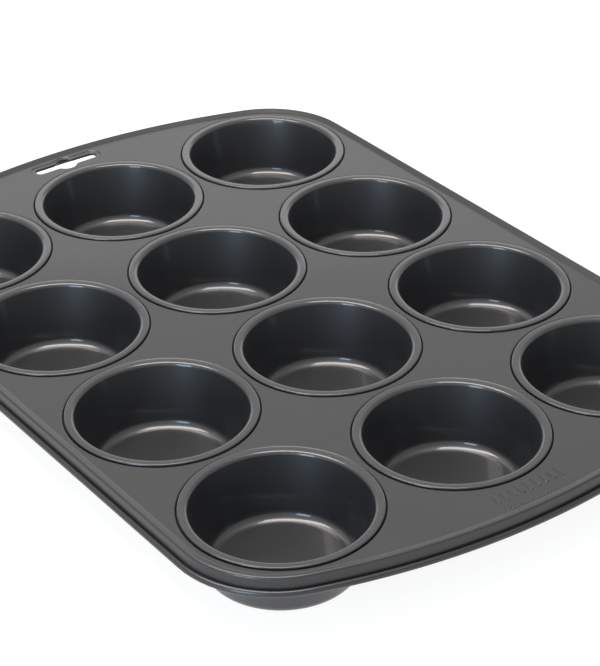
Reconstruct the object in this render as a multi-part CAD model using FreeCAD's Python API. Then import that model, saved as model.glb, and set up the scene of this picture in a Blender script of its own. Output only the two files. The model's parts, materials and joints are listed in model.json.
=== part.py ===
# Twelve-cup muffin tin, in millimetres, +Z up.
#
# Twelve drawn steel cups are lock-seamed into one pressed plate, whose edge is rolled round a wire.
# The origin is on the surface that the cups stand on, under the middle of the plate. X runs along
# the tin, from the hanging slot to the marked end, and Y runs across it.
import FreeCAD, Part
import math
import os

# Sheet and wire
sheet = 0.5                 # steel sheet of the cups and of the plate
clearance = 0.05            # between the folds of a seam, and round the wire in the rolled edge
fold_bend = 0.1             # inside of the tight folds of a seam
wire_radius = 0.85

# Cups, as (letters along X) by (numbers along Y)
cups_along = "abcd"
cups_across = "123"
cup_land = 3.8              # plate between the rims of two neighbouring cups
mouth_radius = 36.6         # where the wall would meet the top of the rim
floor_radius = 31.0         # where the wall would meet the floor
cup_depth = 28.0            # from the top of the plate down to the floor
floor_bend = 4.5            # bend between the floor and the wall, on the food side
mouth_bend = 1.8            # rounding of the mouth, on the food side
rim_width = 4.0             # from mouth_radius to the outside of the rim
rim_rise = 0.6              # top of the rim above the plate

# Neck and groove of the plate round each cup
lip_overlap = 0.65          # how far the folded lip reaches in under the neck's hook
groove_gap = 0.25           # from the outside of the rim to the foot of the groove's slope
groove_slope = 68.0         # degrees
groove_bend = 0.9           # rounding of the groove's upper edge
groove_foot_bend = 0.3

# Plate outline, as lands outside the rims of the outer cups
side_land = 6.8             # from a rim to a long side
end_bow = 29.8              # how far a short end bows out, over the full width
corner_radius = 44.0

# Raised border, skirt and rolled edge
edge_rise = 1.3             # top of the border above the plate
edge_ramp = 3.7             # from the foot of the border's slope to the skirt
edge_foot_bend = 2.5
edge_bend = 1.0             # rounding between the border and the skirt
skirt_drop = 5.4            # from the top of the plate to the middle of the wire
roll_angle = 298.0          # degrees that the rolled edge goes round the wire
flat_margin = 0.5           # flat sheet carried by the edge and neck pieces beyond their bends

# Hanging slot, at the -X end
slot_length = 34.0
slot_width = 4.8
slot_bump_radius = 5.2      # round widening in the middle of the slot
slot_blend = 2.5            # hollow rounding beside the widening
slot_gap_rim = 4.1          # from the rim of the cup to the widening
slot_gap_edge = 6.2         # from the widening to the end of the plate
slot_lip_depth = 1.5        # turned-down edge of the slot

# Pressed panels at the +X end, as (distance in from the end, length, width)
panels = [(14.2, 34.0, 6.2), (6.5, 34.0, 1.8)]
panel_rise = 0.3
panel_wall = 0.3            # sheet kept round the recess under a panel

# Worked out from the values above
seam_radius = mouth_radius + rim_width
pitch = 2 * seam_radius + cup_land
rim_bend = fold_bend + sheet
plate_top = cup_depth + sheet
end_land = slot_gap_rim + 2 * slot_bump_radius + slot_gap_edge
half_length = (len(cups_along) - 1) / 2 * pitch + seam_radius + end_land
half_width = (len(cups_across) - 1) / 2 * pitch + seam_radius + side_land
end_radius = (half_width ** 2 + end_bow ** 2) / (2 * end_bow)
hook_under = rim_rise - 2 * sheet - clearance
lip_top = hook_under - clearance
lip_under = lip_top - sheet
groove_floor = lip_under - clearance
neck_radius = seam_radius - sheet - clearance - lip_overlap
groove_foot_radius = seam_radius + groove_gap
groove_edge_radius = groove_foot_radius - groove_floor / math.tan(math.radians(groove_slope))
groove_edge_tangent = groove_bend * math.tan(math.radians(groove_slope / 2))
hole_radius = groove_edge_radius + groove_edge_tangent + flat_margin / 2
roll_radius = wire_radius + clearance
ramp_run = edge_ramp - edge_bend
ramp_lift = edge_rise - edge_bend
ramp_slope = math.atan2(ramp_lift, ramp_run) + math.asin(edge_bend / math.hypot(ramp_run, ramp_lift))
ramp_foot = edge_ramp + edge_foot_bend * math.tan(ramp_slope / 2)
edge_inset = ramp_foot + flat_margin / 2

Z_AXIS = FreeCAD.Vector(0, 0, 1)


def vec(x, y, z=0.0):
    """A point or direction."""
    return FreeCAD.Vector(x, y, z)


def rounded_path(corners):
    """Edges of a path in the XZ plane, from (x, z, bend radius) corners, with arcs at the bends."""
    points = [vec(x, 0, z) for x, z, _ in corners]
    edges = []
    start = points[0]
    for before, corner, after, (_, _, radius) in zip(points, points[1:], points[2:], corners[1:]):
        arriving = (corner - before).normalize()
        leaving = (after - corner).normalize()
        half_turn = arriving.getAngle(leaving) / 2
        if radius > 0:
            reach = radius * math.tan(half_turn)
            arc_start = corner - arriving * reach
            arc_end = corner + leaving * reach
            towards_centre = (leaving - arriving).normalize()
            arc_middle = corner + towards_centre * (radius / math.cos(half_turn) - radius)
            if (arc_start - start).Length > 1e-6:
                edges.append(Part.makeLine(start, arc_start))
            edges.append(Part.Arc(arc_start, arc_middle, arc_end).toShape())
            start = arc_end
        else:
            edges.append(Part.makeLine(start, corner))
            start = corner
    if (points[-1] - start).Length > 1e-6:
        edges.append(Part.makeLine(start, points[-1]))
    return edges


def offset_corners(corners, thickness):
    """Corners of the sheet's other face, thickness to the right of the path (left if negative)."""
    points = [vec(x, 0, z) for x, z, _ in corners]
    runs = [(b - a).normalize() for a, b in zip(points, points[1:])]
    normals = [vec(run.z, 0, -run.x) for run in runs]
    offset = []
    for index, (point, (_, _, radius)) in enumerate(zip(points, corners)):
        before = normals[max(index - 1, 0)]
        after = normals[min(index, len(normals) - 1)]
        moved = point + (before + after) * (thickness / (1 + before.dot(after)))
        turn = 0.0
        if 0 < index < len(runs):
            turn = runs[index - 1].x * runs[index].z - runs[index - 1].z * runs[index].x
        grown = radius + math.copysign(thickness, thickness * turn) if turn else 0.0
        offset.append((moved.x, moved.z, max(grown, 0.0)))
    return offset


def bent_sheet(corners, thickness):
    """Face of a bent sheet's section: one face follows the corners, the other is thickness away."""
    first_side = rounded_path(corners)
    other_corners = offset_corners(corners, thickness)
    other_side = rounded_path(other_corners)
    start_cap = Part.makeLine(vec(corners[0][0], 0, corners[0][1]),
                              vec(other_corners[0][0], 0, other_corners[0][1]))
    end_cap = Part.makeLine(vec(corners[-1][0], 0, corners[-1][1]),
                            vec(other_corners[-1][0], 0, other_corners[-1][1]))
    ordered = Part.__sortEdges__(first_side + [end_cap] + other_side + [start_cap])
    return Part.Face(Part.Wire(ordered))


def cup_centres():
    """Name suffix and centre of each cup."""
    for column, letter in enumerate(cups_along):
        for row, number in enumerate(cups_across):
            x = (column - (len(cups_along) - 1) / 2) * pitch
            y = (row - (len(cups_across) - 1) / 2) * pitch
            yield letter + number, vec(x, y)


def cup_section():
    """Half section of a cup: floor, wall, rim and folded lip, from the axis outwards."""
    food_side = [
        (0.0, -cup_depth, 0.0),
        (floor_radius, -cup_depth, floor_bend),
        (mouth_radius, rim_rise, mouth_bend),
        (seam_radius, rim_rise, rim_bend),
        (seam_radius, lip_under, rim_bend),
        (neck_radius + clearance, lip_under, 0.0),
    ]
    return bent_sheet(food_side, sheet)


def cup(centre):
    """One drawn cup with its folded rim."""
    solid = cup_section().revolve(vec(0, 0), Z_AXIS, 360)
    solid.translate(centre + vec(0, 0, plate_top))
    return solid


def neck(centre):
    """The plate's groove, neck and hook round one cup, inside the flat land."""
    top_side = [
        (hole_radius, 0.0, 0.0),
        (groove_edge_radius, 0.0, groove_bend),
        (groove_foot_radius, groove_floor, groove_foot_bend),
        (neck_radius, groove_floor, fold_bend),
        (neck_radius, hook_under, fold_bend),
        (neck_radius + lip_overlap, hook_under, 0.0),
    ]
    solid = bent_sheet(top_side, -sheet).revolve(vec(0, 0), Z_AXIS, 360)
    solid.translate(centre)
    return solid


def outline_arcs(inset=0.0):
    """Arcs of the plate's outline at the skirt, anticlockwise: (centre, radius, from, to)."""
    end_centre = half_length - end_radius
    corner_y = half_width - corner_radius
    corner_x = end_centre + math.sqrt((end_radius - corner_radius) ** 2 - corner_y ** 2)
    bow = math.degrees(math.atan2(corner_y, corner_x - end_centre))
    bowed = end_radius - inset
    round_corner = corner_radius - inset
    return [
        (vec(end_centre, 0), bowed, -bow, bow),
        (vec(corner_x, corner_y), round_corner, bow, 90),
        (vec(-corner_x, corner_y), round_corner, 90, 180 - bow),
        (vec(-end_centre, 0), bowed, 180 - bow, 180 + bow),
        (vec(-corner_x, -corner_y), round_corner, 180 + bow, 270),
        (vec(corner_x, -corner_y), round_corner, 270, 360 - bow),
    ]


def on_arc(centre, radius, degrees):
    """Point of an arc at an angle."""
    angle = math.radians(degrees)
    return centre + vec(math.cos(angle), math.sin(angle)) * radius


def outline_face(inset):
    """Flat face inside the skirt's outline, drawn in by inset."""
    edges = []
    arcs = outline_arcs(inset)
    for (centre, radius, start, end), following in zip(arcs, arcs[1:] + arcs[:1]):
        middle = on_arc(centre, radius, (start + end) / 2)
        last = on_arc(centre, radius, end)
        edges.append(Part.Arc(on_arc(centre, radius, start), middle, last).toShape())
        next_start = on_arc(following[0], following[1], following[2])
        if (next_start - last).Length > 1e-3:
            edges.append(Part.makeLine(last, next_start))
    return Part.Face(Part.Wire(Part.__sortEdges__(edges)))


def along_outline(section):
    """Solids made by carrying a section, with x outwards from the skirt, round the outline."""
    solids = []
    arcs = outline_arcs()
    for (centre, radius, start, end), following in zip(arcs, arcs[1:] + arcs[:1]):
        at_start = section.copy()
        at_start.rotate(vec(0, 0), Z_AXIS, start)
        at_start.translate(on_arc(centre, radius, start))
        solids.append(at_start.revolve(centre, Z_AXIS, end - start))
        last = on_arc(centre, radius, end)
        run = on_arc(following[0], following[1], following[2]) - last
        if run.Length > 1e-3:
            at_end = section.copy()
            at_end.rotate(vec(0, 0), Z_AXIS, end)
            at_end.translate(last)
            solids.append(at_end.extrude(run))
    return solids


def edge_section():
    """Section of the plate's edge: flat, border, skirt and the roll round the wire."""
    middle_z = -skirt_drop
    last_turn = math.radians(roll_angle - 270)
    last_reach = roll_radius * math.tan(last_turn / 2)
    outer_side = [
        (-edge_inset, 0.0, 0.0),
        (-edge_ramp, 0.0, edge_foot_bend),
        (0.0, edge_ramp * math.tan(ramp_slope), edge_bend),
        (0.0, middle_z - roll_radius, roll_radius),
        (2 * roll_radius, middle_z - roll_radius, roll_radius),
        (2 * roll_radius, middle_z + roll_radius, roll_radius),
        (roll_radius - last_reach, middle_z + roll_radius, roll_radius),
        (roll_radius - roll_radius * math.sin(last_turn),
         middle_z + roll_radius * math.cos(last_turn), 0.0),
    ]
    return bent_sheet(outer_side, sheet)


def wire_section():
    """Round section of the wire, in the middle of the roll."""
    circle = Part.makeCircle(wire_radius, vec(roll_radius, 0, -skirt_drop), vec(0, -1, 0))
    return Part.Face(Part.Wire(circle))


def slot_centre():
    """Middle of the hanging slot."""
    return vec(-half_length + slot_gap_edge + slot_bump_radius, 0)


def slot_face(offset):
    """Slot with its round widening, grown by offset, in the plane of the plate's top."""
    half_width_here = slot_width / 2 + offset
    bump = slot_bump_radius + offset
    blend = slot_blend - offset
    end_y = slot_length / 2 - slot_width / 2
    blend_x = half_width_here + blend
    blend_y = math.sqrt((bump + blend) ** 2 - blend_x ** 2)
    bump_x = blend_x * bump / (bump + blend)
    bump_y = blend_y * bump / (bump + blend)
    towards_bump = vec(-blend_x, -blend_y).normalize()
    half_way = (towards_bump + vec(-1, 0)).normalize()
    quarter = [
        Part.Arc(vec(bump, 0), on_arc(vec(0, 0), bump, math.degrees(math.atan2(bump_y, bump_x)) / 2),
                 vec(bump_x, bump_y)).toShape(),
        Part.Arc(vec(bump_x, bump_y), vec(blend_x, blend_y) + half_way * blend,
                 vec(half_width_here, blend_y)).toShape(),
        Part.makeLine(vec(half_width_here, blend_y), vec(half_width_here, end_y)),
        Part.Arc(vec(half_width_here, end_y), on_arc(vec(0, end_y), half_width_here, 45),
                 vec(0, end_y + half_width_here)).toShape(),
    ]
    half = quarter + [edge.mirror(vec(0, 0), vec(1, 0)) for edge in quarter]
    edges = half + [edge.mirror(vec(0, 0), vec(0, 1)) for edge in half]
    face = Part.Face(Part.Wire(Part.__sortEdges__(edges)))
    face.translate(slot_centre())
    return face


def stadium(length, width, centre, z):
    """Flat face with round ends, long along Y."""
    straight = Part.makePlane(width, length - width, centre + vec(-width / 2, (width - length) / 2, z))
    reach = vec(0, (length - width) / 2)
    ends = [Part.Face(Part.Wire(Part.makeCircle(width / 2, centre + side + vec(0, 0, z))))
            for side in (reach, -reach)]
    return straight.fuse(ends).removeSplitter()


def add_panels(plate):
    """Raise the pressed panels from the plate, with the same hollow under each."""
    for inset, length, width in panels:
        centre = vec(half_length - inset, 0)
        inner = 2 * panel_wall
        raised = stadium(length, width, centre, -sheet).extrude(vec(0, 0, sheet + panel_rise))
        hollow = stadium(length - inner, width - inner, centre, -sheet).extrude(vec(0, 0, panel_rise))
        plate = plate.fuse(raised).cut(hollow)
    return plate


def plate():
    """The pressed plate with its necks, skirt, rolled edge and slot."""
    land = outline_face(edge_inset).extrude(vec(0, 0, -sheet))
    centres = [centre for _, centre in cup_centres()]
    holes = [Part.makeCylinder(hole_radius, 4 * sheet, centre + vec(0, 0, -2 * sheet))
             for centre in centres]
    land = land.cut(holes)
    slot_lip = slot_face(sheet).extrude(vec(0, 0, -slot_lip_depth))
    solid = land.fuse(along_outline(edge_section()) + [neck(centre) for centre in centres] + [slot_lip])
    slot = slot_face(0).extrude(vec(0, 0, -2 * slot_lip_depth))
    slot.translate(vec(0, 0, slot_lip_depth / 2))
    solid = add_panels(solid.cut(slot)).removeSplitter()
    solid.translate(vec(0, 0, plate_top))
    return solid


def rim_wire():
    """The closed loop of wire in the rolled edge."""
    spans = along_outline(wire_section())
    solid = spans[0].fuse(spans[1:]).removeSplitter()
    solid.translate(vec(0, 0, plate_top))
    return solid


def save(shape, node):
    """Write one sub-part, as its solids, and say what it is."""
    solids = shape.Solids
    shape = solids[0] if len(solids) == 1 else Part.makeCompound(solids)
    shape.exportStep("parts/" + node + ".step")
    box = shape.BoundBox
    print("%-10s solids %d valid %s volume %.0f  X %.2f..%.2f  Y %.2f..%.2f  Z %.2f..%.2f"
          % (node, len(solids), shape.isValid(), shape.Volume,
             box.XMin, box.XMax, box.YMin, box.YMax, box.ZMin, box.ZMax))


def main():
    os.makedirs("parts", exist_ok=True)
    save(plate(), "plate")
    for suffix, centre in cup_centres():
        save(cup(centre), "cup_" + suffix)
    save(rim_wire(), "rim_wire")


main()
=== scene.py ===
import json
import math

import bmesh
import bpy
from mathutils import Matrix, Vector


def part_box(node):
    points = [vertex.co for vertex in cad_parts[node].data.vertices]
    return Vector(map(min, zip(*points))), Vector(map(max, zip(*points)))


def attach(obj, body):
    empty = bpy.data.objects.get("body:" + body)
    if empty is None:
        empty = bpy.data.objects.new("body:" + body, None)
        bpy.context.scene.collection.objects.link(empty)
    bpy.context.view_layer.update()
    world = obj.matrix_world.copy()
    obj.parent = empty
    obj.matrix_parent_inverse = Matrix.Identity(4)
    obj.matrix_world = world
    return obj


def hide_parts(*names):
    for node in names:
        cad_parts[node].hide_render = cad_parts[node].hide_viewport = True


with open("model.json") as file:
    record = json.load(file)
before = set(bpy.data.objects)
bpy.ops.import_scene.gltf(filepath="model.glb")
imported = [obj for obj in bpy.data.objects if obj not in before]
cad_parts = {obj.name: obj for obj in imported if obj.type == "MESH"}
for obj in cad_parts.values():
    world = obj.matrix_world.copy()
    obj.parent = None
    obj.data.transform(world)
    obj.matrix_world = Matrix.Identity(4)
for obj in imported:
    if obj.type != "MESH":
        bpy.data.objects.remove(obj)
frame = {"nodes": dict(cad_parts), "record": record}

bl_info = {
    "name": "Muffin Tin",
    "version": (1, 0, 0),
    "blender": (4, 5, 0),
    "location": "View3D > Sidebar > Muffin Tin",
    "description": "Models a twelve-cup baking tin round its packed frame, and its small studio",
    "category": "Object",
}

MM = 0.001
MERGE = 2e-6                            # vertices nearer than this are one
BEND_STEP = math.radians(12)            # longest step round a bend of a section
GROOVE_BEND_STEP = math.radians(15)
BAR_BEND_STEP = math.radians(25)
SMOOTH_ANGLE = math.radians(35)         # faces that meet at less than this are shaded smooth
EDGE_ARC_STEP = 4 * MM                  # steps along the curves that sections are swept round
BORDER_ARC_STEP = 0.8 * MM
FINE_ARC_STEP = 0.5 * MM
FLAT_MARGIN = 0.1 * MM                  # flat sheet beyond the last bend of a swept section
GROOVE_MARGIN = 0.15 * MM

# Low steps in the plate, each as (half its width, half the width of its slope, bend)
BORDER_STEP = (0.45 * MM, 0.2 * MM, 0.4 * MM)
BAR_STEP = (0.25 * MM, 0.1 * MM, 0.2 * MM)
BORDER_BLEND_RATIO = 3                  # hollow rounding of the pressed border to the slot's
GROOVE_FOOT_RATIO = 3                   # bend at a groove's foot to the bend of a fold

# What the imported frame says
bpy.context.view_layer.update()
PLATE_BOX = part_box("plate")
CUP_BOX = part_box("cup_a1")
CUP_NAMES = sorted(name for name in frame["nodes"] if name.startswith("cup_"))
SLOT_CENTRE = Vector(next(mount["pos_m"] for mount in frame["record"]["mounts"]
                          if mount["name"] == "hanging_slot"))
PLATE_TOP = SLOT_CENTRE.z
RIM_TOP = CUP_BOX[1].z
SEAM_RADIUS = (CUP_BOX[1].x - CUP_BOX[0].x) / 2

# Rows of raised bars at the +X end, each as (distance in from the end, bars, length of a bar
# along X, width of a bar)
BAR_ROWS = ((14.2 * MM, 9, 6.2 * MM, 1.6 * MM), (6.5 * MM, 15, 1.8 * MM, 0.9 * MM))
BAR_ROW_LENGTH = 34 * MM
BAR_RISE = 0.3 * MM

# Texture of the finishes: noise in lumps to the metre, relief, roughness and tone
WAVES, PEEL, GRAIN, MOTTLE, SPECKS = 16.0, 1400.0, 5200.0, 55.0, 2300.0
WIRE_MARKS = 900.0
SPECK_EDGE = 0.83                       # noise above this is a speck
PLATE_WAVE_HEIGHT = 0.10 * MM
CUP_WAVE_HEIGHT = 0.03 * MM
PEEL_HEIGHT = 0.003 * MM
GRAIN_HEIGHT = 0.001 * MM
COAT_ROUGHNESS = 0.08
FLOOR_ROUGHNESS = 0.8
DARKEST = 0.72                          # tone where mottle, grain and specks add nothing
MOTTLE_TONE, GRAIN_TONE, SPECK_TONE = 0.3, 0.25, 1.6
MOTTLE_ROUGHNESS, GRAIN_ROUGHNESS = 0.08, 0.06

# Soft lights, as (width, height) and colour
OVERHEAD_SIZE, OVERHEAD_COLOUR = (1.1, 0.5), (1.0, 0.93, 0.90)
STRIP_SIZE, STRIP_COLOUR = (0.35, 0.9), (0.60, 0.80, 1.0)
BACKDROP_SIZE, BACKDROP_COLOUR = (2.4, 0.5), (1.0, 1.0, 1.0)
FLOOR_DROP = 0.1 * MM                   # floor below the cups, so their faces don't coincide
CLIP_START = 10 * MM                    # nearest that the camera sees


# ---------------------------------------------------------------- sizes and colours

class SheetSizes(bpy.types.PropertyGroup):
    """Sizes that the cups and the plate share."""
    sheet: bpy.props.FloatProperty(
        name="Sheet", description="Thickness of the steel sheet",
        default=0.5 * MM, min=0.2 * MM, subtype="DISTANCE", unit="LENGTH")
    clearance: bpy.props.FloatProperty(
        name="Clearance", description="Gap between the folds of a seam",
        default=0.05 * MM, min=0.01 * MM, subtype="DISTANCE", unit="LENGTH")
    fold_bend: bpy.props.FloatProperty(
        name="Fold bend", description="Inside radius of the tight folds of a seam",
        default=0.1 * MM, min=0.05 * MM, subtype="DISTANCE", unit="LENGTH")
    lip_overlap: bpy.props.FloatProperty(
        name="Lip overlap",
        description="How far a cup's folded lip reaches in under the plate's hook",
        default=0.65 * MM, min=0.2 * MM, subtype="DISTANCE", unit="LENGTH")


class CupSizes(bpy.types.PropertyGroup):
    """Sizes of a drawn cup."""
    rim_width: bpy.props.FloatProperty(
        name="Rim width", description="From the mouth to the outside of the rim",
        default=4.0 * MM, min=2 * MM, subtype="DISTANCE", unit="LENGTH")
    floor_radius: bpy.props.FloatProperty(
        name="Floor radius", description="Where the wall would meet the floor",
        default=31.0 * MM, min=10 * MM, subtype="DISTANCE", unit="LENGTH")
    floor_bend: bpy.props.FloatProperty(
        name="Floor bend", description="Bend between the floor and the wall, on the food side",
        default=4.5 * MM, min=1 * MM, subtype="DISTANCE", unit="LENGTH")
    mouth_bend: bpy.props.FloatProperty(
        name="Mouth bend", description="Rounding of the mouth, on the food side",
        default=1.8 * MM, min=0.6 * MM, subtype="DISTANCE", unit="LENGTH")
    steps: bpy.props.IntProperty(
        name="Steps", description="Steps of the spin round a cup", default=144, min=24)


class PlateSizes(bpy.types.PropertyGroup):
    """Sizes of the pressed plate."""
    groove_gap: bpy.props.FloatProperty(
        name="Groove gap", description="From the rim of a cup to the foot of the groove's slope",
        default=0.25 * MM, min=0.1 * MM, subtype="DISTANCE", unit="LENGTH")
    groove_slope: bpy.props.FloatProperty(
        name="Groove slope", description="Slope of the groove's outer side",
        default=math.radians(68), subtype="ANGLE", unit="ROTATION")
    groove_bend: bpy.props.FloatProperty(
        name="Groove bend", description="Rounding of the groove's upper edge",
        default=0.9 * MM, min=0.55 * MM, subtype="DISTANCE", unit="LENGTH")
    end_bow: bpy.props.FloatProperty(
        name="End bow", description="How far a short end bows out, over the full width",
        default=29.8 * MM, min=1 * MM, subtype="DISTANCE", unit="LENGTH")
    corner_radius: bpy.props.FloatProperty(
        name="Corner radius", description="Radius of the plate's corners",
        default=44 * MM, min=10 * MM, subtype="DISTANCE", unit="LENGTH")
    edge_rise: bpy.props.FloatProperty(
        name="Edge rise", description="Top of the raised border above the plate",
        default=1.3 * MM, min=0.2 * MM, subtype="DISTANCE", unit="LENGTH")
    edge_ramp: bpy.props.FloatProperty(
        name="Edge ramp", description="From the foot of the border's slope to the skirt",
        default=3.7 * MM, min=1 * MM, subtype="DISTANCE", unit="LENGTH")
    edge_foot_bend: bpy.props.FloatProperty(
        name="Edge foot bend", description="Rounding at the foot of the border's slope",
        default=2.5 * MM, min=0.6 * MM, subtype="DISTANCE", unit="LENGTH")
    edge_bend: bpy.props.FloatProperty(
        name="Edge bend", description="Rounding between the border and the skirt",
        default=1.0 * MM, min=0.6 * MM, subtype="DISTANCE", unit="LENGTH")
    skirt_drop: bpy.props.FloatProperty(
        name="Skirt drop", description="From the top of the plate to the middle of the rolled edge",
        default=5.4 * MM, min=3 * MM, subtype="DISTANCE", unit="LENGTH")
    roll_radius: bpy.props.FloatProperty(
        name="Roll radius", description="Inside radius of the rolled edge",
        default=0.9 * MM, min=0.5 * MM, subtype="DISTANCE", unit="LENGTH")
    roll_angle: bpy.props.FloatProperty(
        name="Roll angle", description="How far the edge is rolled round the wire",
        default=math.radians(298), subtype="ANGLE", unit="ROTATION")
    steps: bpy.props.IntProperty(
        name="Steps", description="Steps of the spin round a cup's groove", default=90, min=24)


class SlotSizes(bpy.types.PropertyGroup):
    """Sizes of the hanging slot and of the border pressed round it."""
    length: bpy.props.FloatProperty(
        name="Length", description="Length of the slot, across the tin",
        default=34 * MM, subtype="DISTANCE", unit="LENGTH")
    width: bpy.props.FloatProperty(
        name="Width", description="Width of the slot away from its widening",
        default=4.8 * MM, subtype="DISTANCE", unit="LENGTH")
    bump_radius: bpy.props.FloatProperty(
        name="Widening radius", description="Radius of the round widening in the middle",
        default=5.2 * MM, subtype="DISTANCE", unit="LENGTH")
    blend: bpy.props.FloatProperty(
        name="Blend", description="Hollow rounding beside the widening",
        default=2.5 * MM, subtype="DISTANCE", unit="LENGTH")
    edge_bend: bpy.props.FloatProperty(
        name="Edge bend", description="Rounding of the slot's turned-down edge",
        default=0.6 * MM, subtype="DISTANCE", unit="LENGTH")
    lip_depth: bpy.props.FloatProperty(
        name="Lip depth", description="Height of the slot's turned-down edge",
        default=1.5 * MM, subtype="DISTANCE", unit="LENGTH")
    border_gap: bpy.props.FloatProperty(
        name="Border gap", description="From the slot's straight sides to the pressed border",
        default=2.4 * MM, subtype="DISTANCE", unit="LENGTH")
    border_bump_gap: bpy.props.FloatProperty(
        name="Border gap at the widening", description="From the widening to the pressed border",
        default=1.25 * MM, subtype="DISTANCE", unit="LENGTH")
    border_depth: bpy.props.FloatProperty(
        name="Border depth", description="How far the sheet inside the border is pressed down",
        default=0.35 * MM, subtype="DISTANCE", unit="LENGTH")


class FinishColours(bpy.types.PropertyGroup):
    """Colours and texture of the coating and the wire."""
    plate_colour: bpy.props.FloatVectorProperty(
        name="Plate coating", description="Colour of the coating on the plate",
        default=(0.011, 0.011, 0.012), min=0, max=1, subtype="COLOR")
    cup_colour: bpy.props.FloatVectorProperty(
        name="Cup coating", description="Colour of the coating on the cups",
        default=(0.0075, 0.0082, 0.0095), min=0, max=1, subtype="COLOR")
    wire_colour: bpy.props.FloatVectorProperty(
        name="Wire", description="Colour of the drawn steel wire",
        default=(0.45, 0.45, 0.46), min=0, max=1, subtype="COLOR")
    plate_roughness: bpy.props.FloatProperty(
        name="Plate roughness", description="Mean roughness of the coating on the plate",
        default=0.42, min=0.05, max=1, subtype="FACTOR")
    cup_roughness: bpy.props.FloatProperty(
        name="Cup roughness", description="Mean roughness of the coating on the cups",
        default=0.45, min=0.05, max=1, subtype="FACTOR")
    plate_gloss: bpy.props.FloatProperty(
        name="Plate gloss", description="Share of the glossy skin on the plate's coating",
        default=0.25, min=0, max=1, subtype="FACTOR")
    cup_gloss: bpy.props.FloatProperty(
        name="Cup gloss", description="Share of the glossy skin on the cups' coating",
        default=0.7, min=0, max=1, subtype="FACTOR")


class StudioSizes(bpy.types.PropertyGroup):
    """Camera, floor and lights."""
    camera_place: bpy.props.FloatVectorProperty(
        name="Camera", description="Place of the camera",
        default=(721.9 * MM, -493.6 * MM, 542.6 * MM), subtype="TRANSLATION", unit="LENGTH")
    camera_turn: bpy.props.FloatVectorProperty(
        name="Camera turn", description="Turn of the camera",
        default=tuple(math.radians(angle) for angle in (58.84, 1.03, 54.18)), subtype="EULER")
    lens: bpy.props.FloatProperty(
        name="Lens", description="Focal length on a 36 mm sensor, in mm", default=123.2, min=10)
    floor_size: bpy.props.FloatProperty(
        name="Floor", description="Side of the floor",
        default=6.0, subtype="DISTANCE", unit="LENGTH")
    floor_colour: bpy.props.FloatVectorProperty(
        name="Floor colour", description="Colour of the floor",
        default=(0.15, 0.15, 0.15), min=0, max=1, subtype="COLOR")
    floor_glow: bpy.props.FloatProperty(
        name="Floor glow", description="Light that comes up through the floor", default=0.9, min=0)
    overhead_place: bpy.props.FloatVectorProperty(
        name="Overhead light", description="Place of the large soft light",
        default=(-0.17, -0.25, 1.3), subtype="TRANSLATION", unit="LENGTH")
    overhead_power: bpy.props.FloatProperty(
        name="Overhead power", description="Power of the large soft light, in watts",
        default=24, min=0)
    strip_place: bpy.props.FloatVectorProperty(
        name="Strip light", description="Place of the tall soft light",
        default=(0.55, -1.07, 0.35), subtype="TRANSLATION", unit="LENGTH")
    strip_power: bpy.props.FloatProperty(
        name="Strip power", description="Power of the tall soft light, in watts",
        default=10, min=0)
    backdrop_place: bpy.props.FloatVectorProperty(
        name="Backdrop light", description="Place of the wide soft light behind the tin",
        default=(-1.3, 0.92, 0.62), subtype="TRANSLATION", unit="LENGTH")
    backdrop_power: bpy.props.FloatProperty(
        name="Backdrop power", description="Power of the wide soft light, in watts",
        default=4, min=0)
    sky: bpy.props.FloatProperty(
        name="Sky", description="Brightness of the plain light from all round", default=0.8, min=0)


class MuffinTinSettings(bpy.types.PropertyGroup):
    """All the settings of the tin and its studio."""
    sheet: bpy.props.PointerProperty(type=SheetSizes)
    cup: bpy.props.PointerProperty(type=CupSizes)
    plate: bpy.props.PointerProperty(type=PlateSizes)
    slot: bpy.props.PointerProperty(type=SlotSizes)
    finish: bpy.props.PointerProperty(type=FinishColours)
    studio: bpy.props.PointerProperty(type=StudioSizes)


# ---------------------------------------------------------------- sections and outlines

def rounded(corners, bend_step=BEND_STEP):
    """Points of a path in (x, z) through (x, z, bend radius) corners, each bend in short steps."""
    places = [Vector((x, z)) for x, z, _ in corners]
    points = [places[0]]
    for before, corner, after, (_, _, radius) in zip(places, places[1:], places[2:], corners[1:]):
        arriving = (corner - before).normalized()
        leaving = (after - corner).normalized()
        turn = leaving.angle_signed(arriving)
        reach = radius * math.tan(abs(turn) / 2)
        centre = corner - arriving * reach
        side = Vector((-arriving.y, arriving.x)) * math.copysign(radius, turn)
        centre += side
        steps = max(1, math.ceil(abs(turn) / bend_step))
        for step in range(steps + 1):
            angle = turn * step / steps
            points.append(centre + Matrix.Rotation(angle, 2) @ -side)
    points.append(places[-1])
    kept = [points[0]]
    for point in points[1:]:
        if (point - kept[-1]).length > 4 * MERGE:
            kept.append(point)
    return kept


def step_section(step, height, bend_step=BEND_STEP):
    """A low step from the flat outside an outline to another level inside it."""
    half_width, half_slope, bend = step
    return rounded([
        (half_width, 0, 0),
        (half_slope, 0, bend),
        (-half_slope, height, bend),
        (-half_width, height, 0),
    ], bend_step)


def round_outline(end_centre, end_radius, corner, corner_radius):
    """Arcs of the plate's outline, anticlockwise: (centre, radius, from, to)."""
    bow = math.atan2(corner.y, corner.x - end_centre)
    half, full = math.pi, 2 * math.pi
    return [
        (Vector((end_centre, 0, 0)), end_radius, -bow, bow),
        (Vector((corner.x, corner.y, 0)), corner_radius, bow, half / 2),
        (Vector((-corner.x, corner.y, 0)), corner_radius, half / 2, half - bow),
        (Vector((-end_centre, 0, 0)), end_radius, half - bow, half + bow),
        (Vector((-corner.x, -corner.y, 0)), corner_radius, half + bow, 1.5 * half),
        (Vector((corner.x, -corner.y, 0)), corner_radius, 1.5 * half, full - bow),
    ]


def bead_width(plate):
    """How far the rolled edge stands out from the skirt."""
    return 2 * plate.roll_radius + bpy.context.scene.muffin_tin.sheet.sheet


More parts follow.
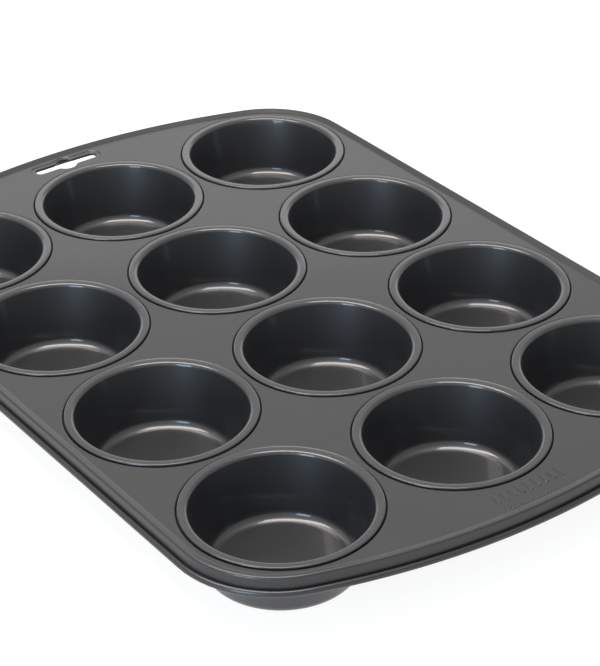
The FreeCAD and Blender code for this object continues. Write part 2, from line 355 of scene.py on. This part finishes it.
def plate_outline(plate):
    """Arcs of the plate's outline at the face of the skirt."""
    bead = bead_width(plate)
    half_length = PLATE_BOX[1].x - bead
    half_width = PLATE_BOX[1].y - bead
    end_radius = (half_width ** 2 + plate.end_bow ** 2) / (2 * plate.end_bow)
    end_centre = half_length - end_radius
    corner_y = half_width - plate.corner_radius
    reach = end_radius - plate.corner_radius
    corner_x = end_centre + math.sqrt(reach ** 2 - corner_y ** 2)
    return round_outline(end_centre, end_radius, Vector((corner_x, corner_y)), plate.corner_radius)


def slot_outline(half_width, bump, blend, half_straight):
    """Arcs of a slot along Y with a round widening, anticlockwise, with hollow arcs turned back."""
    blend_x = half_width + blend
    blend_y = math.sqrt((bump + blend) ** 2 - blend_x ** 2)
    flank = math.atan2(blend_y, blend_x)
    half = math.pi
    return [
        (Vector((0, 0, 0)), bump, -flank, flank),
        (Vector((blend_x, blend_y, 0)), -blend, half + flank, half),
        (Vector((0, half_straight, 0)), half_width, 0, half),
        (Vector((-blend_x, blend_y, 0)), -blend, 0, -flank),
        (Vector((0, 0, 0)), bump, half - flank, half + flank),
        (Vector((-blend_x, -blend_y, 0)), -blend, flank, 0),
        (Vector((0, -half_straight, 0)), half_width, half, 2 * half),
        (Vector((blend_x, -blend_y, 0)), -blend, half, half - flank),
    ]


def arc_point(centre, radius, angle):
    """Point of an arc."""
    return centre + Vector((math.cos(angle), math.sin(angle), 0)) * abs(radius)


# ---------------------------------------------------------------- modelling by operators

def edit_new_vertex(name, place):
    """A new mesh object of one vertex at a place, left in edit mode."""
    if bpy.context.mode != "OBJECT":
        bpy.ops.object.mode_set(mode="OBJECT")
    bpy.ops.object.select_all(action="DESELECT")
    bpy.ops.mesh.primitive_plane_add(size=MM)
    piece = bpy.context.object
    piece.name = name
    piece.data.name = name
    bpy.ops.object.mode_set(mode="EDIT")
    bpy.ops.mesh.merge(type="CENTER")
    bpy.ops.transform.translate(value=place)
    return piece


def draw_section(name, points):
    """A new mesh whose vertices are extruded one from the last along the points, all selected."""
    piece = edit_new_vertex(name, points[0])
    for before, after in zip(points, points[1:]):
        bpy.ops.mesh.extrude_vertices_move(TRANSFORM_OT_translate={"value": after - before})
    bpy.ops.mesh.select_all(action="SELECT")
    return piece


def close_shell():
    """Merge doubles and point the faces outwards and up, in edit mode."""
    bpy.ops.mesh.select_all(action="SELECT")
    bpy.ops.mesh.remove_doubles(threshold=MERGE)
    bpy.ops.mesh.normals_make_consistent(inside=False)
    mesh = bmesh.from_edit_mesh(bpy.context.object.data)
    flat = max(mesh.faces, key=lambda face: face.calc_area() * abs(face.normal.z))
    if flat.normal.z < 0:
        bpy.ops.mesh.flip_normals()
    bpy.ops.object.mode_set(mode="OBJECT")


def sweep(name, section, outline, place, arc_step):
    """Carry a section of (distance outwards, height) points round an outline of arcs."""
    centre, radius, start, _ = outline[0]
    outwards = Vector((math.cos(start), math.sin(start), 0))
    first = place + arc_point(centre, radius, start)
    piece = draw_section(name, [first + outwards * x + Vector((0, 0, z)) for x, z in section])
    for (centre, radius, start, end), following in zip(outline, outline[1:] + outline[:1]):
        steps = max(3, round(abs(end - start) * abs(radius) / arc_step))
        bpy.ops.mesh.spin(steps=steps, angle=start - end, center=place + centre, axis=(0, 0, 1))
        run = arc_point(following[0], following[1], following[2]) - arc_point(centre, radius, end)
        if run.length > 10 * MERGE:
            runs = max(1, round(run.length / (2 * arc_step)))
            for _ in range(runs):
                bpy.ops.mesh.extrude_region_move(TRANSFORM_OT_translate={"value": run / runs})
    close_shell()
    return piece


def lathe(name, section, place, steps):
    """Spin a section of (radius, height) points once round a vertical line."""
    piece = draw_section(name, [place + Vector((x, 0, z)) for x, z in section])
    bpy.ops.mesh.spin(steps=steps, angle=2 * math.pi, center=place, axis=(0, 0, 1))
    close_shell()
    return piece


def thicken(piece, thickness):
    """Give a shell its sheet thickness behind its faces, and shade it smooth."""
    bpy.ops.object.select_all(action="DESELECT")
    piece.select_set(True)
    bpy.context.view_layer.objects.active = piece
    modifier = piece.modifiers.new("sheet", "SOLIDIFY")
    modifier.thickness = thickness
    modifier.offset = -1
    modifier.use_even_offset = True
    modifier.use_quality_normals = True
    bpy.ops.object.modifier_apply(modifier=modifier.name)
    bpy.ops.object.shade_smooth_by_angle(angle=SMOOTH_ANGLE)


def finish_piece(piece, material, slot, *nodes):
    """Give a piece its material and place in the frame, and hide the frame's nodes; the slot is not
    used.
    """
    piece.data.materials.clear()
    piece.data.materials.append(material)
    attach(piece, "root")
    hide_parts(*nodes)


def copy_piece(source, name, offset):
    """A copy of a piece with its own mesh, moved in its mesh."""
    copy = source.copy()
    copy.data = source.data.copy()
    copy.name = name
    copy.data.name = name
    bpy.context.scene.collection.objects.link(copy)
    copy.data.transform(Matrix.Translation(offset))
    return copy


# ---------------------------------------------------------------- finishes

class Value:
    """A socket's output that Python's operators work on, each adding a Math node."""

    def __init__(self, tree, socket):
        self.tree = tree
        self.socket = socket

    def maths(self, operation, first, second):
        """A Math node of two values."""
        node = self.tree.nodes.new("ShaderNodeMath")
        node.operation = operation
        for socket, value in zip(node.inputs, (first, second)):
            plug(self.tree, socket, value)
        return Value(self.tree, node.outputs[0])

    def __add__(self, other):
        return self.maths("ADD", self, other)

    def __radd__(self, other):
        return self.maths("ADD", other, self)

    def __mul__(self, other):
        return self.maths("MULTIPLY", self, other)

    def __rmul__(self, other):
        return self.maths("MULTIPLY", other, self)

    def above(self, edge):
        """1 where the value is above the edge, else 0."""
        return self.maths("GREATER_THAN", self, edge)


def plug(tree, socket, value):
    """Link a value to a socket, or set the socket to a plain one."""
    if isinstance(value, Value):
        tree.links.new(value.socket, socket)
    else:
        socket.default_value = value


class Finish:
    """A material and the nodes that make it."""

    def __init__(self, name):
        self.material = bpy.data.materials.new(name)
        self.material.use_nodes = True
        self.tree = self.material.node_tree
        self.tree.nodes.clear()

    def node(self, kind, settings=None, output=0, **sockets):
        """Add a node with its settings, then its sockets' values or links, and give one output."""
        node = self.tree.nodes.new(kind)
        for name, value in (settings or {}).items():
            setattr(node, name, value)
        for name, value in sockets.items():
            plug(self.tree, node.inputs[name.replace("_", " ")], value)
        if node.outputs:
            return Value(self.tree, node.outputs[output])
        return None

    def noise(self, place, scale, detail=2.0, roughness=0.5):
        """Noise from 0 to 1 at so many lumps to the metre."""
        return self.node("ShaderNodeTexNoise", Vector=place, Scale=scale, Detail=detail,
                         Roughness=roughness)

    def surface(self, **sockets):
        """The shader and the output."""
        shader = self.node("ShaderNodeBsdfPrincipled", **sockets)
        self.node("ShaderNodeOutputMaterial", Surface=shader)
        return self.material


def coating(name, colour, roughness, gloss, wave_height):
    """Satin non-stick coating: a glossy skin over mottled, grained and finely speckled sheet."""
    finish = Finish(name)
    place = finish.node("ShaderNodeTexCoord", output=3)
    waves = finish.noise(place, WAVES, 1.0)
    peel = finish.noise(place, PEEL)
    grain = finish.noise(place, GRAIN, 1.0)
    mottle = finish.noise(place, MOTTLE, 3.0, 0.6)
    specks = finish.noise(place, SPECKS, 0.0).above(SPECK_EDGE)
    height = waves * wave_height + peel * PEEL_HEIGHT + grain * GRAIN_HEIGHT
    normal = finish.node("ShaderNodeBump", Strength=1.0, Distance=1.0, Height=height)
    tone = mottle * MOTTLE_TONE + grain * GRAIN_TONE + DARKEST + specks * SPECK_TONE
    smoothest = roughness - (MOTTLE_ROUGHNESS + GRAIN_ROUGHNESS) / 2
    shade = finish.node("ShaderNodeVectorMath", {"operation": "SCALE"}, Vector=colour, Scale=tone)
    return finish.surface(
        Base_Color=shade,
        Roughness=mottle * MOTTLE_ROUGHNESS + (grain * GRAIN_ROUGHNESS + smoothest),
        Coat_Weight=gloss,
        Coat_Roughness=COAT_ROUGHNESS,
        Normal=normal,
    )


def drawn_wire(name, colour):
    """Drawn steel wire with faint marks."""
    finish = Finish(name)
    place = finish.node("ShaderNodeTexCoord", output=3)
    marks = finish.noise(place, WIRE_MARKS)
    return finish.surface(
        Base_Color=(*colour, 1.0),
        Metallic=1.0,
        Roughness=marks * 0.2 + 0.3,
    )


def plain(name, colour, glow):
    """A plain matt surface that is lit from below as well, for the floor."""
    finish = Finish(name)
    return finish.surface(
        Base_Color=(*colour, 1.0),
        Roughness=FLOOR_ROUGHNESS,
        Emission_Color=(1.0, 1.0, 1.0, 1.0),
        Emission_Strength=glow,
    )


class TIN_OT_finishes(bpy.types.Operator):
    """Make the coating, the wire's finish and the floor's"""
    bl_idname = "muffin_tin.finishes"
    bl_label = "Finishes"

    def execute(self, context):
        settings = context.scene.muffin_tin
        finish = settings.finish
        coating("plate coating", finish.plate_colour, finish.plate_roughness, finish.plate_gloss,
                PLATE_WAVE_HEIGHT)
        coating("cup coating", finish.cup_colour, finish.cup_roughness, finish.cup_gloss,
                CUP_WAVE_HEIGHT)
        drawn_wire("drawn wire", finish.wire_colour)
        plain("studio floor", settings.studio.floor_colour, settings.studio.floor_glow)
        return {"FINISHED"}


# ---------------------------------------------------------------- pieces

def seam_levels(sheet):
    """Heights above the plate's top: under the hook, under the lip and of the groove's floor."""
    hook = RIM_TOP - PLATE_TOP - 2 * sheet.sheet - sheet.clearance
    lip = hook - sheet.clearance - sheet.sheet
    return hook, lip, lip - sheet.clearance


def first_cup_centre():
    """Middle of the first cup, at the top of the plate."""
    low, high = CUP_BOX
    return Vector(((low.x + high.x) / 2, (low.y + high.y) / 2, PLATE_TOP))


def neck_radius(sheet):
    """Outside of the plate's neck round a cup."""
    return SEAM_RADIUS - sheet.sheet - sheet.clearance - sheet.lip_overlap


class TIN_OT_cups(bpy.types.Operator):
    """Spin one cup from its section and copy it to every place"""
    bl_idname = "muffin_tin.cups"
    bl_label = "Cups"

    def execute(self, context):
        settings = context.scene.muffin_tin
        cup, sheet = settings.cup, settings.sheet
        _, lip, _ = seam_levels(sheet)
        floor = sheet.sheet - PLATE_TOP
        rim = RIM_TOP - PLATE_TOP
        rim_bend = sheet.fold_bend + sheet.sheet
        flat_floor = cup.floor_radius - cup.floor_bend
        section = rounded([
            (0, floor, 0),
            (flat_floor / 2, floor, 0),
            (flat_floor, floor, 0),
            (cup.floor_radius, floor, cup.floor_bend),
            (SEAM_RADIUS - cup.rim_width, rim, cup.mouth_bend),
            (SEAM_RADIUS, rim, rim_bend),
            (SEAM_RADIUS, lip, rim_bend),
            (neck_radius(sheet) + sheet.clearance, lip, 0),
        ])
        model = lathe(CUP_NAMES[0] + "_drawn", section, first_cup_centre(), cup.steps)
        thicken(model, sheet.sheet)
        for name in CUP_NAMES:
            piece = model
            if name != CUP_NAMES[0]:
                piece = copy_piece(model, name + "_drawn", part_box(name)[0] - CUP_BOX[0])
            finish_piece(piece, bpy.data.materials["cup coating"], "nonstick_coating", name)
        return {"FINISHED"}


def groove_section(plate, sheet):
    """The plate's groove, neck and hook round a cup, from the radius where it leaves the flat."""
    hook, _, groove = seam_levels(sheet)
    foot = SEAM_RADIUS + plate.groove_gap
    edge = foot - groove / math.tan(plate.groove_slope)
    flat = edge + plate.groove_bend * math.tan(plate.groove_slope / 2) + GROOVE_MARGIN
    neck = neck_radius(sheet)
    return rounded([
        (flat, 0, 0),
        (edge, 0, plate.groove_bend),
        (foot, groove, GROOVE_FOOT_RATIO * sheet.fold_bend),
        (neck, groove, sheet.fold_bend),
        (neck, hook, sheet.fold_bend),
        (neck + sheet.lip_overlap, hook, 0),
    ], GROOVE_BEND_STEP)


def edge_section(plate):
    """The plate's edge outside the flat: raised border, skirt and the roll round the wire."""
    roll = plate.roll_radius
    run = plate.edge_ramp - plate.edge_bend
    lift = plate.edge_rise - plate.edge_bend
    slope = math.atan2(lift, run) + math.asin(plate.edge_bend / math.hypot(run, lift))
    foot = plate.edge_ramp + plate.edge_foot_bend * math.tan(slope / 2)
    low, high = -plate.skirt_drop - roll, -plate.skirt_drop + roll
    last_turn = plate.roll_angle - 1.5 * math.pi
    return rounded([
        (-foot - FLAT_MARGIN, 0, 0),
        (-plate.edge_ramp, 0, plate.edge_foot_bend),
        (0, plate.edge_ramp * math.tan(slope), plate.edge_bend),
        (0, low, roll),
        (2 * roll, low, roll),
        (2 * roll, high, roll),
        (roll - roll * math.tan(last_turn / 2), high, roll),
        (roll - roll * math.sin(last_turn), -plate.skirt_drop + roll * math.cos(last_turn), 0),
    ])


class TIN_OT_plate(bpy.types.Operator):
    """Model the pressed plate with its grooves, border, rolled edge, slot and bars"""
    bl_idname = "muffin_tin.plate"
    bl_label = "Plate"

    def execute(self, context):
        settings = context.scene.muffin_tin
        plate, sheet, slot = settings.plate, settings.sheet, settings.slot
        top = Vector((0, 0, PLATE_TOP))
        edge = sweep("plate_pressed", edge_section(plate), plate_outline(plate), top, EDGE_ARC_STEP)

        parts = [edge]
        groove = lathe("groove", groove_section(plate, sheet), first_cup_centre(), plate.steps)
        parts.append(groove)
        for name in CUP_NAMES[1:]:
            parts.append(copy_piece(groove, "groove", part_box(name)[0] - CUP_BOX[0]))
        parts += self.slot_parts(slot)
        parts += self.bar_parts(plate)

        bpy.ops.object.select_all(action="DESELECT")
        for part in parts:
            part.select_set(True)
        context.view_layer.objects.active = edge
        bpy.ops.object.join()
        self.fill_flats(slot)
        thicken(edge, sheet.sheet)
        finish_piece(edge, bpy.data.materials["plate coating"], "nonstick_coating", "plate")
        return {"FINISHED"}

    def slot_parts(self, slot):
        """The slot's turned-down edge and the border pressed round it."""
        half_straight = (slot.length - slot.width) / 2
        outline = slot_outline(slot.width / 2, slot.bump_radius, slot.blend, half_straight)
        pressed = -slot.border_depth
        edge = rounded([
            (slot.edge_bend + FLAT_MARGIN, pressed, 0),
            (0, pressed, slot.edge_bend),
            (0, -slot.lip_depth, 0),
        ])
        yield sweep("slot_edge", edge, outline, SLOT_CENTRE, FINE_ARC_STEP)
        border = slot_outline(slot.width / 2 + slot.border_gap,
                              slot.bump_radius + slot.border_bump_gap,
                              BORDER_BLEND_RATIO * slot.blend, half_straight)
        step = step_section(BORDER_STEP, pressed)
        yield sweep("slot_border", step, border, SLOT_CENTRE, BORDER_ARC_STEP)

    def bar_parts(self, plate):
        """Two rows of small plain raised bars at the +X end."""
        end = PLATE_BOX[1].x - bead_width(plate)
        step = step_section(BAR_STEP, BAR_RISE, BAR_BEND_STEP)
        for inset, count, length, width in BAR_ROWS:
            half_straight = (length - width) / 2
            outline = [
                (Vector((half_straight, 0, 0)), width / 2, -math.pi / 2, math.pi / 2),
                (Vector((-half_straight, 0, 0)), width / 2, math.pi / 2, 1.5 * math.pi),
            ]
            pitch = (BAR_ROW_LENGTH - width) / (count - 1)
            for bar in range(count):
                place = Vector((end - inset, (bar - (count - 1) / 2) * pitch, PLATE_TOP))
                yield sweep("bar", step, outline, place, FINE_ARC_STEP)

    def fill_flats(self, slot):
        """Fill the flat between the open edges at each level."""
        levels = (PLATE_TOP, PLATE_TOP - slot.border_depth, PLATE_TOP + BAR_RISE)
        bpy.ops.object.mode_set(mode="EDIT")
        bpy.ops.mesh.select_mode(type="EDGE")
        for level in levels:
            bpy.ops.mesh.select_all(action="DESELECT")
            mesh = bmesh.from_edit_mesh(bpy.context.object.data)
            for edge in mesh.edges:
                at_level = all(abs(vertex.co.z - level) < MERGE for vertex in edge.verts)
                if edge.is_boundary and at_level:
                    edge.select = True
            bmesh.update_edit_mesh(bpy.context.object.data)
            bpy.ops.mesh.fill(use_beauty=True)
        close_shell()


class TIN_OT_wire(bpy.types.Operator):
    """Give the wire in the rolled edge its finish"""
    bl_idname = "muffin_tin.wire"
    bl_label = "Wire"

    def execute(self, context):
        wire = frame["nodes"]["rim_wire"]
        wire.data.materials.clear()
        wire.data.materials.append(bpy.data.materials["drawn wire"])
        return {"FINISHED"}


class TIN_OT_stage(bpy.types.Operator):
    """Set up the floor, the lights and the camera"""
    bl_idname = "muffin_tin.stage"
    bl_label = "Stage"

    def execute(self, context):
        studio = context.scene.muffin_tin.studio
        bpy.ops.object.select_all(action="DESELECT")
        bpy.ops.mesh.primitive_plane_add(size=studio.floor_size, location=(0, 0, -FLOOR_DROP))
        floor = context.object
        floor.name = "studio_floor"
        floor.data.materials.append(bpy.data.materials["studio floor"])

        world = bpy.data.worlds.new("studio sky")
        world.use_nodes = True
        sky = world.node_tree.nodes["Background"]
        sky.inputs["Color"].default_value = (1, 1, 1, 1)
        sky.inputs["Strength"].default_value = studio.sky
        context.scene.world = world

        # The overhead light is square to the camera's line of sight, seen from above
        self.soft_light("overhead_light", studio.overhead_place, (0, 0, studio.camera_turn[2]),
                        OVERHEAD_SIZE, studio.overhead_power, OVERHEAD_COLOUR)
        self.soft_light("strip_light", studio.strip_place, self.facing(studio.strip_place),
                        STRIP_SIZE, studio.strip_power, STRIP_COLOUR)
        self.soft_light("backdrop_light", studio.backdrop_place, self.facing(studio.backdrop_place),
                        BACKDROP_SIZE, studio.backdrop_power, BACKDROP_COLOUR)

        bpy.ops.object.camera_add(location=studio.camera_place, rotation=studio.camera_turn)
        camera = context.object
        camera.data.lens = studio.lens
        camera.data.clip_start = CLIP_START
        context.scene.camera = camera
        context.scene.view_settings.view_transform = "Standard"
        return {"FINISHED"}

    def facing(self, place):
        """Turn of a light at a place that shines at the origin."""
        return Vector(place).to_track_quat("Z", "Y").to_euler()

    def soft_light(self, name, place, turn, size, power, colour):
        """An oblong soft light."""
        bpy.ops.object.light_add(type="AREA", location=place, rotation=turn)
        light = bpy.context.object
        light.name = name
        light.data.shape = "RECTANGLE"
        light.data.size, light.data.size_y = size
        light.data.energy = power
        light.data.color = colour


class TIN_PT_panel(bpy.types.Panel):
    """Sizes, colours and steps of the muffin tin"""
    bl_idname = "TIN_PT_panel"
    bl_label = "Muffin Tin"
    bl_space_type = "VIEW_3D"
    bl_region_type = "UI"
    bl_category = "Muffin Tin"

    def draw(self, context):
        settings = context.scene.muffin_tin
        for group in ("sheet", "cup", "plate", "slot", "finish", "studio"):
            box = self.layout.box()
            box.label(text=group.capitalize())
            values = getattr(settings, group)
            for name in values.bl_rna.properties.keys():
                if name not in ("name", "rna_type"):
                    box.prop(values, name)
        for operator in OPERATORS:
            self.layout.operator(operator.bl_idname)


GROUPS = (SheetSizes, CupSizes, PlateSizes, SlotSizes, FinishColours, StudioSizes,
          MuffinTinSettings)
OPERATORS = (TIN_OT_finishes, TIN_OT_cups, TIN_OT_plate, TIN_OT_wire, TIN_OT_stage)


def register():
    for kind in GROUPS + OPERATORS + (TIN_PT_panel,):
        bpy.utils.register_class(kind)
    bpy.types.Scene.muffin_tin = bpy.props.PointerProperty(type=MuffinTinSettings)


def unregister():
    del bpy.types.Scene.muffin_tin
    for kind in reversed(GROUPS + OPERATORS + (TIN_PT_panel,)):
        bpy.utils.unregister_class(kind)


def main():
    register()
    bpy.ops.muffin_tin.finishes()
    bpy.ops.muffin_tin.cups()
    bpy.ops.muffin_tin.plate()
    bpy.ops.muffin_tin.wire()
    bpy.ops.muffin_tin.stage()


if __name__ == "__main__":
    main()
